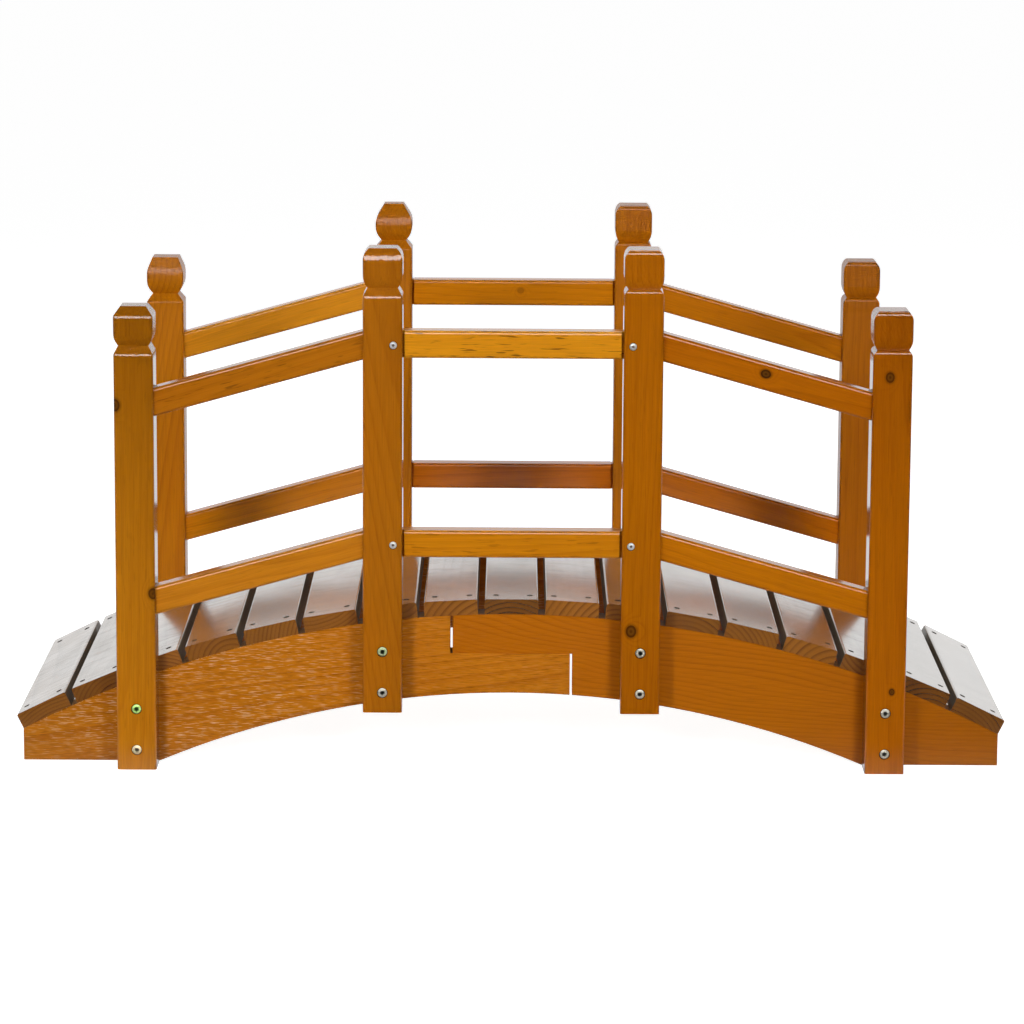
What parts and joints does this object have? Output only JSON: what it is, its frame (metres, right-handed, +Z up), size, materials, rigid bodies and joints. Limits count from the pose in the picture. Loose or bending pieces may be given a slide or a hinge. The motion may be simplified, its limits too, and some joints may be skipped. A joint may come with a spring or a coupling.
{
  "type": "arched garden bridge",
  "caption": "Small varnished softwood garden bridge with arched beams, a plank deck and low post-and-rail sides with shaped post heads.",
  "frame": {"origin": "on the ground, under the middle of the bridge", "axes": "+X along the bridge, +Y across it from front to rear, +Z up"},
  "size_m": [1.5222, 0.664, 0.804],
  "materials": {
    "beam_wood": "satin",
    "post_wood": "gloss",
    "rail_wood": "gloss",
    "plank_wood": "gloss"
  },
  "bodies": {
    "root": {"front_beam_left": "beam_wood", "front_beam_right": "beam_wood", "rear_beam_left": "beam_wood", "rear_beam_right": "beam_wood", "front_post_end_left": "post_wood", "front_post_middle_left": "post_wood", "front_post_middle_right": "post_wood", "front_post_end_right": "post_wood", "rear_post_end_left": "post_wood", "rear_post_middle_left": "post_wood", "rear_post_middle_right": "post_wood", "rear_post_end_right": "post_wood", "front_rail_left_upper": "rail_wood", "front_rail_left_lower": "rail_wood", "front_rail_middle_upper": "rail_wood", "front_rail_middle_lower": "rail_wood", "front_rail_right_upper": "rail_wood", "front_rail_right_lower": "rail_wood", "rear_rail_left_upper": "rail_wood", "rear_rail_left_lower": "rail_wood", "rear_rail_middle_upper": "rail_wood", "rear_rail_middle_lower": "rail_wood", "rear_rail_right_upper": "rail_wood", "rear_rail_right_lower": "rail_wood", "deck_plank_01": "plank_wood", "deck_plank_02": "plank_wood", "deck_plank_03": "plank_wood", "deck_plank_04": "plank_wood", "deck_plank_05": "plank_wood", "deck_plank_06": "plank_wood", "deck_plank_07": "plank_wood", "deck_plank_08": "plank_wood", "deck_plank_09": "plank_wood", "deck_plank_10": "plank_wood", "deck_plank_11": "plank_wood", "deck_plank_12": "plank_wood", "deck_plank_13": "plank_wood", "deck_plank_14": "plank_wood", "deck_plank_15": "plank_wood", "deck_plank_16": "plank_wood", "deck_plank_17": "plank_wood"}
  },
  "joints": []
}
